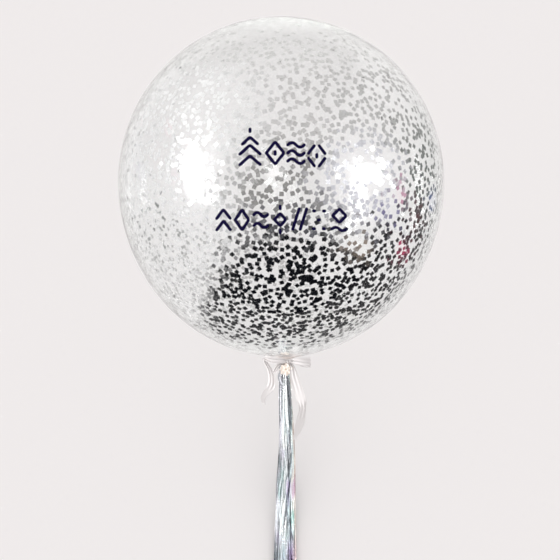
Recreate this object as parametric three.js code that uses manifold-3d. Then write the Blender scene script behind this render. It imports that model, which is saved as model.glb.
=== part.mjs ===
// A clear bubble balloon that lies loose on the floor, with a ribbon bow at its neck and a tinsel tail.
// Units are millimetres, +Z is up, and the floor is z = 0. The crown of the balloon points along +Y
// and its neck along -Y. The origin is on the floor, in the middle of the small flat spot on which
// the balloon rests.
import * as THREE from 'three';
import { mergeVertices } from 'three/addons/utils/BufferGeometryUtils.js';
import Module from 'manifold-3d';

const wasm = await Module();
wasm.setup();

// The film envelope
const BALLOON_RADIUS = 300;
const FLAT_SPOT_DEPTH = 3;
const AXIS_HEIGHT = BALLOON_RADIUS - FLAT_SPOT_DEPTH;
const CROWN_RISE = 0.012;
const NECK_PULL = 0.066;
const NECK_PULL_POWER = 2.4;
const AROUND = 56;
const BODY_RINGS = 37;
const RING_CROWDING = 1.35;

// The gathered throat, the tied waist and the rosette of loose film below it
const WAIST_RADIUS = 7.5;
const WAIST_LENGTH = 12;
const TIE_DROP = 4;
const THROAT_DEPTH = 6;
const THROAT_REACH = 12;
const PLEATS = 14;
const PLEAT_DEPTH = 0.05;
const PLEAT_NEAR = 12;
const PLEAT_FAR = 90;
const NECK_LEAN = 9;
const ROSETTE_RADIUS = 10;
const ROSETTE_LENGTH = 12;
const ROSETTE_RISE = THREE.MathUtils.degToRad(60);
const ROSETTE_PETALS = 7;
const ROSETTE_PETAL_DEPTH = 0.1;

// The ribbon
const RIBBON_THICKNESS = 1.2;
const STEPS_PER_STATION = 4;
const WRAP_GAP = 0.3;
const WRAP_THICKNESS = 1.8;
const WRAP_WIDTH = 5;
const KNOT_SIZE = [10, 7.6, 6];

// The tinsel tail
const TAIL_TOP_WIDTH = 15;
const TAIL_END_WIDTH = 64;
const TAIL_TOP_HEIGHT = 12;
const TAIL_SWELL = 12;
const TAIL_AROUND = 24;
const TAIL_STEPS = 42;
const TAIL_FLUTES = 6;
const TAIL_FLUTE_DEPTH = 0.14;
const TAIL_TWIST = 2.2;
const TAIL_RAGGED = 0.05;

const film = new THREE.MeshStandardMaterial({ color: 0xe9ecea, roughness: 0.05, metalness: 0 });
const satin = new THREE.MeshStandardMaterial({ color: 0xf6efee, roughness: 0.45, metalness: 0 });
const foil = new THREE.MeshStandardMaterial({ color: 0xc8cdd4, roughness: 0.2, metalness: 1 });

// One closed solid from a closed geometry, with its shared corners merged.
function solidFrom(geometry) {
  const bare = geometry.clone();
  bare.deleteAttribute('normal');
  bare.deleteAttribute('uv');
  const merged = mergeVertices(bare, 1e-3);
  const corners = merged.index.array;
  const triVerts = [];
  for (let i = 0; i < corners.length; i += 3) {
    const [a, b, c] = corners.slice(i, i + 3);
    if (a !== b && b !== c && c !== a) triVerts.push(a, b, c);
  }
  return new wasm.Manifold(new wasm.Mesh({
    numProp: 3,
    vertProperties: new Float32Array(merged.attributes.position.array),
    triVerts: new Uint32Array(triVerts),
  }));
}

function meshFrom(name, solid, material) {
  const { vertProperties, triVerts } = solid.getMesh();
  const geometry = new THREE.BufferGeometry();
  geometry.setAttribute('position', new THREE.BufferAttribute(vertProperties, 3));
  geometry.setIndex(new THREE.BufferAttribute(triVerts, 1));
  geometry.computeVertexNormals();
  const mesh = new THREE.Mesh(geometry, material);
  mesh.name = name;
  return mesh;
}

// Moves each corner of a geometry to the place that a function gives for it.
function reshaped(geometry, place) {
  const position = geometry.attributes.position;
  const corner = new THREE.Vector3();
  for (let i = 0; i < position.count; i += 1) {
    corner.fromBufferAttribute(position, i);
    place(corner);
    position.setXYZ(i, corner.x, corner.y, corner.z);
  }
  return geometry;
}

// The distance of the film from the middle of the balloon, at an angle from the crown.
function filmDistance(angle) {
  const toCrown = Math.cos(angle);
  const crown = CROWN_RISE * Math.max(0, toCrown) ** 2;
  const neck = NECK_PULL * Math.max(0, -toCrown) ** NECK_PULL_POWER;
  return BALLOON_RADIUS * (1 + crown + neck);
}

function throatPull(radius) {
  return THROAT_DEPTH * Math.exp(-(radius - WAIST_RADIUS) / THROAT_REACH);
}

function filmProfile() {
  const points = [];
  const last = Math.PI - Math.asin(WAIST_RADIUS / filmDistance(Math.PI));
  for (let ring = 0; ring <= BODY_RINGS; ring += 1) {
    const angle = last * (1 - (1 - ring / BODY_RINGS) ** RING_CROWDING);
    const radius = filmDistance(angle) * Math.sin(angle);
    const pull = angle > Math.PI / 2 ? throatPull(radius) : 0;
    points.push(new THREE.Vector2(ring === 0 ? 0 : radius, filmDistance(angle) * Math.cos(angle) - pull));
  }
  return points;
}

const neckTop = filmProfile().at(-1).y;
const neckEnd = neckTop - WAIST_LENGTH;
const tieY = neckTop - TIE_DROP;
const front = AXIS_HEIGHT + WAIST_RADIUS + WRAP_GAP + WRAP_THICKNESS;

// Gathers the film into pleats that run into the throat, and leans the neck a little to one side.
function gather(corner) {
  const radius = Math.hypot(corner.x, corner.z);
  const low = corner.y < 0;
  const near = THREE.MathUtils.smoothstep(radius, WAIST_RADIUS + 1, PLEAT_NEAR);
  const far = 1 - THREE.MathUtils.smoothstep(radius, PLEAT_NEAR, PLEAT_FAR);
  const around = Math.atan2(corner.z, corner.x);
  const pleat = low ? 1 + PLEAT_DEPTH * near * far * Math.cos(PLEATS * around) : 1;
  const lean = low ? NECK_LEAN * (1 - THREE.MathUtils.smoothstep(radius, 0, PLEAT_FAR)) : 0;
  corner.x = corner.x * pleat + lean;
  corner.z *= pleat;
}

function envelope() {
  const profile = filmProfile();
  profile.push(new THREE.Vector2(WAIST_RADIUS, neckEnd));
  profile.push(new THREE.Vector2(0, neckEnd));
  profile.reverse();
  const body = reshaped(new THREE.LatheGeometry(profile, AROUND), gather);
  body.translate(0, 0, AXIS_HEIGHT);
  return solidFrom(body);
}

// The loose end of the neck opens below the tie into a small fluted trumpet that faces upwards.
function rosette() {
  const flare = [
    new THREE.Vector2(0, 0),
    new THREE.Vector2(WAIST_RADIUS * 0.8, 0),
    new THREE.Vector2(WAIST_RADIUS * 0.85, ROSETTE_LENGTH * 0.4),
    new THREE.Vector2(ROSETTE_RADIUS * 0.86, ROSETTE_LENGTH * 0.75),
    new THREE.Vector2(ROSETTE_RADIUS, ROSETTE_LENGTH * 0.97),
    new THREE.Vector2(ROSETTE_RADIUS * 0.9, ROSETTE_LENGTH),
    new THREE.Vector2(0, ROSETTE_LENGTH * 0.6),
  ];
  const petals = reshaped(new THREE.LatheGeometry(flare, 4 * ROSETTE_PETALS), (corner) => {
    const along = THREE.MathUtils.smoothstep(corner.y, 0, ROSETTE_LENGTH);
    const around = Math.atan2(corner.z, corner.x);
    const petal = 1 + ROSETTE_PETAL_DEPTH * along * Math.cos(ROSETTE_PETALS * around);
    corner.x *= petal;
    corner.z *= petal;
  });
  petals.rotateX(Math.PI - ROSETTE_RISE);
  petals.translate(NECK_LEAN, neckEnd, AXIS_HEIGHT);
  return solidFrom(petals);
}

function flatSpotCutter() {
  const side = BALLOON_RADIUS;
  const cutter = new THREE.BoxGeometry(side, side, side);
  cutter.translate(0, 0, -side / 2);
  return solidFrom(cutter);
}

// A flat strip along a curve. Each station has a point, the direction across the strip and a width.
function band(stations) {
  const route = new THREE.CatmullRomCurve3(stations.map((s) => new THREE.Vector3(...s.at)));
  const sides = new THREE.CatmullRomCurve3(
    stations.map((s) => new THREE.Vector3(...s.across).normalize().multiplyScalar(s.width)),
  );
  const steps = STEPS_PER_STATION * (stations.length - 1);
  const strip = new THREE.BoxGeometry(1, 1, RIBBON_THICKNESS, 1, steps, 1);
  const across = new THREE.Vector3();
  const out = new THREE.Vector3();
  reshaped(strip, (corner) => {
    const t = corner.y + 0.5;
    const along = route.getTangent(t);
    sides.getPoint(t, across);
    const width = across.length();
    across.addScaledVector(along, -across.dot(along)).normalize();
    out.crossVectors(across, along);
    const aside = corner.x * width;
    const up = corner.z;
    route.getPoint(t, corner);
    corner.addScaledVector(across, aside).addScaledVector(out, up);
  });
  return solidFrom(strip);
}

// The turn of ribbon that ties the neck.
function wrap() {
  const inner = WAIST_RADIUS + WRAP_GAP;
  const outer = inner + WRAP_THICKNESS;
  const half = WRAP_WIDTH / 2;
  const section = [[inner, -half], [outer, -half], [outer, half], [inner, half], [inner, -half]];
  const ring = new THREE.LatheGeometry(section.map(([x, y]) => new THREE.Vector2(x, y)), 28);
  ring.translate(NECK_LEAN, tieY, AXIS_HEIGHT);
  return solidFrom(ring);
}

function knot() {
  const ball = new THREE.SphereGeometry(0.5, 12, 8);
  ball.scale(...KNOT_SIZE);
  ball.translate(NECK_LEAN + 5, tieY, front + 1);
  return solidFrom(ball);
}

// The stations below follow the ribbon as it lies: x is to the right, y towards the crown.
function rightLoop() {
  return band([
    { at: [14, tieY, front + 1], across: [0, 1, 0], width: 5 },
    { at: [30, tieY, front + 9], across: [0, 1, 0.1], width: 14 },
    { at: [46, tieY - 2, front + 10], across: [0, 1, 0], width: 18.5 },
    { at: [54, tieY - 3, front + 2], across: [0, 1, -0.1], width: 19 },
    { at: [44, tieY - 4, front - 6], across: [0, 1, 0], width: 17 },
    { at: [30, tieY - 2, front - 6], across: [0, 1, 0], width: 12 },
    { at: [14, tieY - 0.5, front], across: [0, 1, 0], width: 5 },
  ]);
}

function leftFold() {
  return band([
    { at: [14, tieY, front + 1], across: [0, 1, 0], width: 5 },
    { at: [0, tieY, front + 7], across: [0, 1, 0.1], width: 8 },
    { at: [-14, tieY - 1, front + 8], across: [0, 1, 0], width: 13 },
    { at: [-27, tieY + 1, front + 5], across: [0.2, 1, 0], width: 10 },
    { at: [-31, tieY + 2, front], across: [0.6, 0.8, 0], width: 7 },
    { at: [-28, tieY - 5, front - 2], across: [0.9, 0.4, 0.1], width: 8 },
    { at: [-20, tieY - 17, front - 4], across: [1, 0.2, 0.1], width: 10 },
    { at: [-16, tieY - 34, front - 10], across: [1, 0, 0.1], width: 13 },
    { at: [-20, tieY - 48, front - 18], across: [0.9, -0.4, 0.3], width: 16 },
    { at: [-30, tieY - 62, front - 27], across: [0.8, -0.4, 0.5], width: 13 },
    { at: [-34, tieY - 73, front - 34], across: [0.8, -0.2, 0.5], width: 8 },
    { at: [-31, tieY - 84, front - 42], across: [1, 0.2, 0.3], width: 2 },
  ]);
}

function lowLoop() {
  return band([
    { at: [4, tieY - 1, front], across: [0.2, 1, 0], width: 4 },
    { at: [-5, tieY - 6, front + 4], across: [0.7, -0.6, 0], width: 7 },
    { at: [-11, tieY - 15, front + 4], across: [0.8, -0.6, 0.1], width: 8 },
    { at: [-13, tieY - 20, front - 1], across: [0.8, -0.6, 0], width: 8 },
    { at: [-10, tieY - 14, front - 5], across: [0.8, -0.6, 0], width: 7 },
    { at: [-3, tieY - 1, front - 4], across: [0.6, 0.8, 0], width: 3 },
  ]);
}

function rightTail() {
  return band([
    { at: [14, tieY, front + 1], across: [0, 1, 0], width: 3 },
    { at: [25, tieY - 8, front + 6], across: [0.8, 0.5, 0], width: 8 },
    { at: [27, tieY - 24, front + 2], across: [1, 0.2, 0.1], width: 12 },
    { at: [32, tieY - 45, front - 8], across: [1, 0.2, 0.3], width: 14 },
    { at: [37, tieY - 70, front - 22], across: [1, 0.1, 0.4], width: 19 },
    { at: [38, tieY - 84, front - 31], across: [1, 0, -0.4], width: 17 },
    { at: [37, tieY - 103, front - 42], across: [1, 0, -0.4], width: 19 },
    { at: [35, tieY - 126, front - 58], across: [1, 0.1, 0.1], width: 17 },
    { at: [30, tieY - 142, front - 70], across: [1, 0.3, 0.3], width: 12 },
    { at: [24, tieY - 156, front - 82], across: [1, 0.5, 0.3], width: 3 },
  ]);
}

// The tinsel leaves the tie under the rosette, droops to the floor and lies along it.
function tinselRoute() {
  return new THREE.CatmullRomCurve3([
    [6, tieY + 2, AXIS_HEIGHT - 17],
    [4, tieY - 22, AXIS_HEIGHT - 18],
    [5, tieY - 70, AXIS_HEIGHT - 29],
    [9, tieY - 120, AXIS_HEIGHT - 56],
    [10, tieY - 170, AXIS_HEIGHT - 103],
    [9, tieY - 220, AXIS_HEIGHT - 165],
    [8, tieY - 272, AXIS_HEIGHT - 227],
    [8, tieY - 325, AXIS_HEIGHT - 267],
    [8, tieY - 385, 13],
    [6, tieY - 470, 10],
    [7, tieY - 580, 8],
    [9, tieY - 690, 6],
  ].map((point) => new THREE.Vector3(...point)));
}

function tinsel() {
  const route = tinselRoute();
  const across = new THREE.Vector3();
  const out = new THREE.Vector3();
  const bundle = new THREE.CylinderGeometry(1, 1, 1, TAIL_AROUND, TAIL_STEPS);
  reshaped(bundle, (corner) => {
    const t = corner.y + 0.5;
    const reach = Math.hypot(corner.x, corner.z);
    const around = Math.atan2(corner.z, corner.x);
    const loose = THREE.MathUtils.smoothstep(t, 0.02, 0.3);
    const turn = 2 * Math.PI * TAIL_TWIST * t;
    const flute = 1 + TAIL_FLUTE_DEPTH * loose * Math.cos(TAIL_FLUTES * around + turn);
    const ragged = TAIL_RAGGED * THREE.MathUtils.smoothstep(t, 0.8, 1) * (1 + Math.cos(5 * around));
    const place = t - 0.5 * ragged;
    const width = THREE.MathUtils.lerp(TAIL_TOP_WIDTH, TAIL_END_WIDTH, t) / 2;
    const height = (TAIL_TOP_HEIGHT + TAIL_SWELL * Math.sin(Math.PI * t)) / 2;
    const along = route.getTangentAt(place);
    across.set(1, 0, 0).addScaledVector(along, -along.x).normalize();
    out.crossVectors(across, along);
    route.getPointAt(place, corner);
    corner.addScaledVector(across, reach * width * flute * Math.cos(around));
    corner.addScaledVector(out, reach * height * flute * Math.sin(around));
    corner.z = Math.max(corner.z, 0);
  });
  return solidFrom(bundle);
}

const balloon = envelope().add(rosette()).subtract(flatSpotCutter());
const bow = [rightLoop(), leftFold(), lowLoop(), rightTail(), wrap(), knot()];

const part = new THREE.Group();
part.add(meshFrom('balloon', balloon, film));
part.add(meshFrom('ribbon_bow', bow.reduce((whole, piece) => whole.add(piece)), satin));
part.add(meshFrom('tinsel_tail', tinsel(), foil));

export default part;
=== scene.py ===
import math
import random

import bpy
from mathutils import Matrix, Vector


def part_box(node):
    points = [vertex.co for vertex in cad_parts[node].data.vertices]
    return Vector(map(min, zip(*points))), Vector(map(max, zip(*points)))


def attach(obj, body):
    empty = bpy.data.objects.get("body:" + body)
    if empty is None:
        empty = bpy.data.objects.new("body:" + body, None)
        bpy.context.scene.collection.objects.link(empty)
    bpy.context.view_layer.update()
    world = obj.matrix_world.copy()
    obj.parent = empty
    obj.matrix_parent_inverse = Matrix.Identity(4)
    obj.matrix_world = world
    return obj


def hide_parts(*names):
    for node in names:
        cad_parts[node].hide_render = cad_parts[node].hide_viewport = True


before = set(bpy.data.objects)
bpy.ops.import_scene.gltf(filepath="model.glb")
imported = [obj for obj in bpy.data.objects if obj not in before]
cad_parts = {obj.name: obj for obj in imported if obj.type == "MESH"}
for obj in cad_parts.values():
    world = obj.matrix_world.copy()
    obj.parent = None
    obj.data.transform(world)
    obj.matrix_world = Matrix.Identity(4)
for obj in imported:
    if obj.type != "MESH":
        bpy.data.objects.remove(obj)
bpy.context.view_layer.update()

# ---------------------------------------------------------------------------
# The film envelope
# A bubble of clear stretched plastic film, blown up to a round pear. Its neck is gathered into
# pleats and tied. The crown points along +Y and the neck along -Y, and the balloon rests on a small
# flat spot. The film is drawn 0.3 mm thick, so that it has an outside and an inside.
# ---------------------------------------------------------------------------
balloon_low, balloon_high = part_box("balloon")
BALLOON_RADIUS = (balloon_high[0] - balloon_low[0]) / 2
AXIS_HEIGHT = balloon_high[2] - BALLOON_RADIUS
CROWN_RISE = 0.012
NECK_PULL = 0.066
NECK_PULL_POWER = 2.4
WAIST_RADIUS = 0.0075
WAIST_LENGTH = 0.012
THROAT_DEPTH = 0.006
THROAT_REACH = 0.012
NECK_LEAN = 0.009
PLEATS = 14
PLEAT_DEPTH = 0.05
PLEAT_NEAR = 0.012
PLEAT_FAR = 0.09
FILM_WALL = 0.0003
FLOOR_GAP = 0.0002
FILM_RINGS = 96
FILM_AROUND = 144
RING_CROWDING = 1.35


def smoothstep(value, low, high):
    """0 up to low, 1 from high on, and a smooth rise between them."""
    t = min(1.0, max(0.0, (value - low) / (high - low)))
    return t * t * (3 - 2 * t)


def film_distance(angle):
    """How far the film is from the middle of the balloon, at an angle from the crown."""
    to_crown = math.cos(angle)
    crown = CROWN_RISE * max(0.0, to_crown) ** 2
    neck = NECK_PULL * max(0.0, -to_crown) ** NECK_PULL_POWER
    return BALLOON_RADIUS * (1 + crown + neck)


def film_ring(angle):
    """The radius of the film round the axis and its place along it, at an angle from the crown."""
    radius = film_distance(angle) * math.sin(angle)
    along = film_distance(angle) * math.cos(angle)
    if angle > math.pi / 2:
        along -= THROAT_DEPTH * math.exp(-(radius - WAIST_RADIUS) / THROAT_REACH)
    return radius, along


def film_point(radius, along, around, inset=0.0):
    """A point of the film, pleated and leaned near the neck and flattened on the floor."""
    low = 1.0 if along < 0 else 0.0
    near = smoothstep(radius, WAIST_RADIUS + 0.001, PLEAT_NEAR)
    far = 1 - smoothstep(radius, PLEAT_NEAR, PLEAT_FAR)
    fold = math.cos(PLEATS * around) + 0.35 * math.cos(2.4 * PLEATS * around + 1)
    pleat = 1 + low * PLEAT_DEPTH * near * far * fold
    lean = low * NECK_LEAN * (1 - smoothstep(radius, 0, PLEAT_FAR))
    reach = max(0.0, radius - inset) * pleat
    return Vector((
        reach * math.cos(around) + lean,
        along,
        max(FLOOR_GAP + inset, AXIS_HEIGHT + reach * math.sin(around)),
    ))


LAST_ANGLE = math.pi - math.asin(WAIST_RADIUS / film_distance(math.pi))
profile = []
for ring in range(1, FILM_RINGS + 1):
    profile.append(film_ring(LAST_ANGLE * (1 - (1 - ring / FILM_RINGS) ** RING_CROWDING)))
NECK_TOP = profile[-1][1]
NECK_END = NECK_TOP - WAIST_LENGTH


def film_wall(inset):
    """One side of the film: its crown point, then its rings from the crown to the neck."""
    points = [Vector((0, film_distance(0) - inset, AXIS_HEIGHT))]
    for radius, along in [*profile, (WAIST_RADIUS, NECK_END)]:
        for step in range(FILM_AROUND):
            points.append(film_point(radius, along, 2 * math.pi * step / FILM_AROUND, inset))
    return points


def film_faces(start, inward):
    """The faces of one side of the film, whose points begin at start."""
    faces = []
    rings = len(profile) + 1
    for step in range(FILM_AROUND):
        turn = (step + 1) % FILM_AROUND
        faces.append((start, start + 1 + turn, start + 1 + step))
        for ring in range(rings - 1):
            upper = start + 1 + ring * FILM_AROUND
            lower = upper + FILM_AROUND
            faces.append((upper + step, upper + turn, lower + turn, lower + step))
    return [tuple(reversed(face)) for face in faces] if inward else faces


def piece_from(name, points, faces, smooth=True):
    """A piece of the object from its points and faces. It rides on the one body that there is."""
    mesh = bpy.data.meshes.new(name)
    mesh.from_pydata(points, [], faces)
    mesh.update()
    if smooth:
        mesh.polygons.foreach_set("use_smooth", [True] * len(mesh.polygons))
    piece = bpy.data.objects.new(name, mesh)
    bpy.context.scene.collection.objects.link(piece)
    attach(piece, "root")
    return piece


outside = film_wall(0.0)
inside = film_wall(FILM_WALL)
wall_faces = film_faces(0, False) + film_faces(len(outside), True)
rim = len(outside) - FILM_AROUND
for step in range(FILM_AROUND):
    turn = (step + 1) % FILM_AROUND
    wall_faces.append((
        rim + step,
        rim + turn,
        rim + turn + len(outside),
        rim + step + len(outside),
    ))
film = piece_from("film_envelope", outside + inside, wall_faces)
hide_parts("balloon")

# Film this clear throws next to no shadow, so it is left out of shadows and of the floor's light.
film.visible_shadow = False
film.visible_diffuse = False


def linear(code):
    """An sRGB hex colour as linear red, green, blue and alpha."""
    parts = [int(code[i:i + 2], 16) / 255 for i in (0, 2, 4)]
    return [c / 12.92 if c <= 0.04045 else ((c + 0.055) / 1.055) ** 2.4 for c in parts] + [1.0]


def add(tree, kind, sockets=None, **settings):
    """A new node with its settings, and a value or a link for each socket by its name or number."""
    made = tree.nodes.new(kind)
    for name, value in settings.items():
        setattr(made, name, value)
    for name, value in (sockets or {}).items():
        if isinstance(value, bpy.types.NodeSocket):
            tree.links.new(value, made.inputs[name])
        else:
            made.inputs[name].default_value = value
    return made


def new_material(name):
    """An empty material, its node tree and its output node."""
    material = bpy.data.materials.new(name)
    material.use_nodes = True
    tree = material.node_tree
    tree.nodes.clear()
    return material, tree, add(tree, "ShaderNodeOutputMaterial")


# Stretched clear polyurethane film, blown: glassy, with a faint waviness in its reflections where
# the film stretched unevenly, about every 60 mm. Its specular level is set far below the usual 0.5,
# so that its mirror image doesn't veil the flakes behind it. Real film mirrors more.
FILM_WAVE_MM = 60
clear_film, tree, output = new_material("blown_clear_polyurethane_film")
place = add(tree, "ShaderNodeTexCoord").outputs["Object"]
waves = add(tree, "ShaderNodeTexNoise", {
    "Vector": place,
    "Scale": 1000 / FILM_WAVE_MM,
    "Detail": 2.0,
})
bump = add(tree, "ShaderNodeBump", {
    "Height": waves.outputs["Fac"],
    "Strength": 0.25,
    "Distance": 0.002,
})
shader = add(tree, "ShaderNodeBsdfPrincipled", {
    "Base Color": linear("feffff"),
    "Roughness": 0.015,
    "IOR": 1.48,
    "Specular IOR Level": 0.03,
    "Transmission Weight": 1.0,
    "Normal": bump.outputs["Normal"],
})
tree.links.new(shader.outputs["BSDF"], output.inputs["Surface"])
film.data.materials.append(clear_film)

# The same film where it is gathered: milky and soft, because its pleats lie over each other.
GATHERED_RADIUS = 0.034
GATHERED_CREASE_MM = 4
throat_film, tree, output = new_material("gathered_milky_film")
place = add(tree, "ShaderNodeTexCoord").outputs["Object"]
creases = add(tree, "ShaderNodeTexNoise", {
    "Vector": place,
    "Scale": 1000 / GATHERED_CREASE_MM,
    "Detail": 2.0,
})
bump = add(tree, "ShaderNodeBump", {
    "Height": creases.outputs["Fac"],
    "Strength": 0.3,
    "Distance": 0.001,
})
shader = add(tree, "ShaderNodeBsdfPrincipled", {
    "Base Color": linear("f6ece6"),
    "Roughness": 0.3,
    "IOR": 1.48,
    "Transmission Weight": 0.55,
    "Normal": bump.outputs["Normal"],
})
tree.links.new(shader.outputs["BSDF"], output.inputs["Surface"])
film.data.materials.append(throat_film)
for face in film.data.polygons:
    from_axis = math.hypot(face.center.x - NECK_LEAN, face.center.z - AXIS_HEIGHT)
    if face.center.y < 0 and from_axis < GATHERED_RADIUS:
        face.material_index = 1

# ---------------------------------------------------------------------------
# The rosette
# The loose end of the neck below the tie. The gathered film opens into a small fluted trumpet that
# faces upwards, and so many layers of it lie on each other that it looks cream.
# ---------------------------------------------------------------------------
ROSETTE_LENGTH = 0.012
ROSETTE_RISE = math.radians(60)
ROSETTE_PETALS = 7
ROSETTE_AROUND = 112
ROSETTE_PROFILE = [
    (0.0070, -0.0060), (0.0066, 0.0000), (0.0067, 0.0040), (0.0080, 0.0075), (0.0100, 0.0100),
    (0.0118, 0.0117), (0.0124, 0.0126), (0.0120, 0.0131), (0.0104, 0.0128), (0.0082, 0.0119),
    (0.0064, 0.0114), (0.0050, 0.0121), (0.0039, 0.0128), (0.0028, 0.0126), (0.0019, 0.0112),
    (0.0013, 0.0080), (0.0011, 0.0050),
]
rosette_turn = Matrix.Rotation(math.pi - ROSETTE_RISE, 3, "X")
rosette_points = []
for radius, along in ROSETTE_PROFILE:
    for step in range(ROSETTE_AROUND):
        around = 2 * math.pi * step / ROSETTE_AROUND
        loose = smoothstep(along, 0, ROSETTE_LENGTH)
        petal = 1.4 * abs(math.sin(ROSETTE_PETALS * around / 2)) - 0.9
        petal += 0.25 * math.cos(3 * ROSETTE_PETALS * around + 2)
        outer = smoothstep(radius, 0.0030, 0.0110)
        flute = 1 + (0.03 + 0.11 * loose) * petal * outer
        lift = 0.0022 * loose * outer * math.cos(ROSETTE_PETALS * around + 1.5)
        local = Vector((
            radius * flute * math.cos(around),
            along + lift,
            radius * flute * math.sin(around),
        ))
        rosette_points.append(rosette_turn @ local + Vector((NECK_LEAN, NECK_END, AXIS_HEIGHT)))
rosette_faces = []
for ring in range(len(ROSETTE_PROFILE) - 1):
    for step in range(ROSETTE_AROUND):
        turn = (step + 1) % ROSETTE_AROUND
        row = ring * ROSETTE_AROUND
        rosette_faces.append((
            row + step,
            row + ROSETTE_AROUND + step,
            row + ROSETTE_AROUND + turn,
            row + turn,
        ))
last_row = (len(ROSETTE_PROFILE) - 1) * ROSETTE_AROUND
rosette_faces.append(tuple(range(ROSETTE_AROUND)))
rosette_faces.append(tuple(reversed(range(last_row, last_row + ROSETTE_AROUND))))
rosette = piece_from("neck_rosette", rosette_points, rosette_faces)
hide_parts("balloon")

# Gathered polyurethane film, many layers deep: cream and waxy, with folds about 2 mm apart. Its colour
# is painted a little darker in the folds, as painted shade.
FOLD_MM = 2
gathered_film, tree, output = new_material("gathered_cream_film")
place = add(tree, "ShaderNodeTexCoord").outputs["Object"]
folds_and_shade = add(tree, "ShaderNodeTexNoise", {"Vector": place, "Scale": 1000 / FOLD_MM, "Detail": 3.0})
# Painted shade: the noise that bumps the folds also darkens the colour where they sink.
tones = add(tree, "ShaderNodeValToRGB", {"Fac": folds_and_shade.outputs["Fac"]})
tones.color_ramp.elements[0].position = 0.35
tones.color_ramp.elements[0].color = linear("f1e5d9")
tones.color_ramp.elements[1].position = 0.65
tones.color_ramp.elements[1].color = linear("fbf3ea")
bump = add(tree, "ShaderNodeBump", {
    "Height": folds_and_shade.outputs["Fac"],
    "Strength": 0.5,
    "Distance": 0.0005,
})
shader = add(tree, "ShaderNodeBsdfPrincipled", {
    "Base Color": tones.outputs["Color"],
    "Roughness": 0.35,
    "IOR": 1.48,
    "Normal": bump.outputs["Normal"],
})
tree.links.new(shader.outputs["BSDF"], output.inputs["Surface"])
rosette.data.materials.append(gathered_film)

# ---------------------------------------------------------------------------
# The confetti
# Square flakes of silver metallised film, 7 mm across, that cling to the inside of the balloon.
# They lie flat on the film, singly and in small clumps, thick towards the neck and thin at the
# crown, and fewer cling to the side on the floor.
# ---------------------------------------------------------------------------
FLAKE_SIDE = 0.0072
FLAKE_THICKNESS = 0.00006
FLAKE_COUNT = 6200
# The height towards the crown, from -1 at the neck to 1 at the crown, and the cover there.
COVER = [
    (-1.0, 0.12), (-0.94, 0.22), (-0.86, 0.7), (-0.75, 1.0), (-0.6, 1.0), (-0.42, 0.78),
    (-0.1, 0.68), (0.2, 0.52), (0.5, 0.42), (0.70, 0.20), (0.80, 0.05), (0.88, 0.0), (1.0, 0.0),
]
RIGHT_COVER = 0.45
CLEAR_NECK = math.radians(174)
BACK_COVER_CROWN = 0.0
BACK_COVER_NECK = 0.30
CLUMP_SHARE = 0.24
CROWDED_SHARE = 0.10
LOOSE_SHARE = 0.006
FLAKE_SPACING = FLAKE_SIDE * 1.2
CLEAR_CROWN = 0.02
MOST_IN_CLUMP = 5
CLUMP_NEAR = 0.8
CLUMP_FAR = 1.1
FLAT_LEAN = 2.4
LOOSE_LEAN = 9.0
SMALLEST_FLAKE = 0.9
LARGEST_FLAKE = 1.06
FLAKE_GAP = 0.0003
LAYER_STEP = 0.00025
LAYER_SPREAD = 0.0002
chance = random.Random(24)
taken = {}


def cover(angle, around):
    """How thickly the flakes lie, from 0 to 1, at an angle from the crown and one round the axis."""
    if angle > CLEAR_NECK:
        return 0.0
    to_crown = math.cos(angle)
    share = 0.0
    for (low, low_share), (high, high_share) in zip(COVER, COVER[1:]):
        if low <= to_crown <= high:
            share = low_share + (high_share - low_share) * (to_crown - low) / (high - low)
    share *= 1 + (RIGHT_COVER - 1) * smoothstep(math.cos(around), 0.6, 0.95)
    back = BACK_COVER_NECK
    back += (BACK_COVER_CROWN - BACK_COVER_NECK) * smoothstep(to_crown, -0.4, 0.0)
    return share * (back + (1 - back) * smoothstep(math.sin(around), -0.3, 0.1))


def cell_of(point):
    """The cell of a coarse grid that a point lies in."""
    return tuple(math.floor(c / FLAKE_SPACING) for c in point)


def crowded(point):
    """True if another flake lies nearer than the usual spacing."""
    x, y, z = cell_of(point)
    for cell in ((x + i, y + j, z + k) for i in (-1, 0, 1) for j in (-1, 0, 1) for k in (-1, 0, 1)):
        for other in taken.get(cell, []):
            if (other - point).length < FLAKE_SPACING:
                return True
    return False


def flake_spot():
    """A place on the film, as an angle from the crown and one round the axis."""
    while True:
        angle = math.acos(chance.uniform(-1, 1))
        around = chance.uniform(0, 2 * math.pi)
        if chance.random() < cover(angle, around):
            point = film_point(*film_ring(angle), around)
            if chance.random() < CROWDED_SHARE or not crowded(point):
                return angle, around


def film_frame(angle, around, depth):
    """A point at a depth under the film, with the direction inward and one along the film."""
    here = film_point(*film_ring(angle), around)
    down = (film_point(*film_ring(angle + 0.01), around) - here).normalized()
    sideways = Vector((-math.sin(around), 0, math.cos(around)))
    inward = down.cross(sideways).normalized()
    if inward.dot(Vector((0, 0, AXIS_HEIGHT)) - here) < 0:
        inward.negate()
    return here + inward * depth, inward, down


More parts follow.
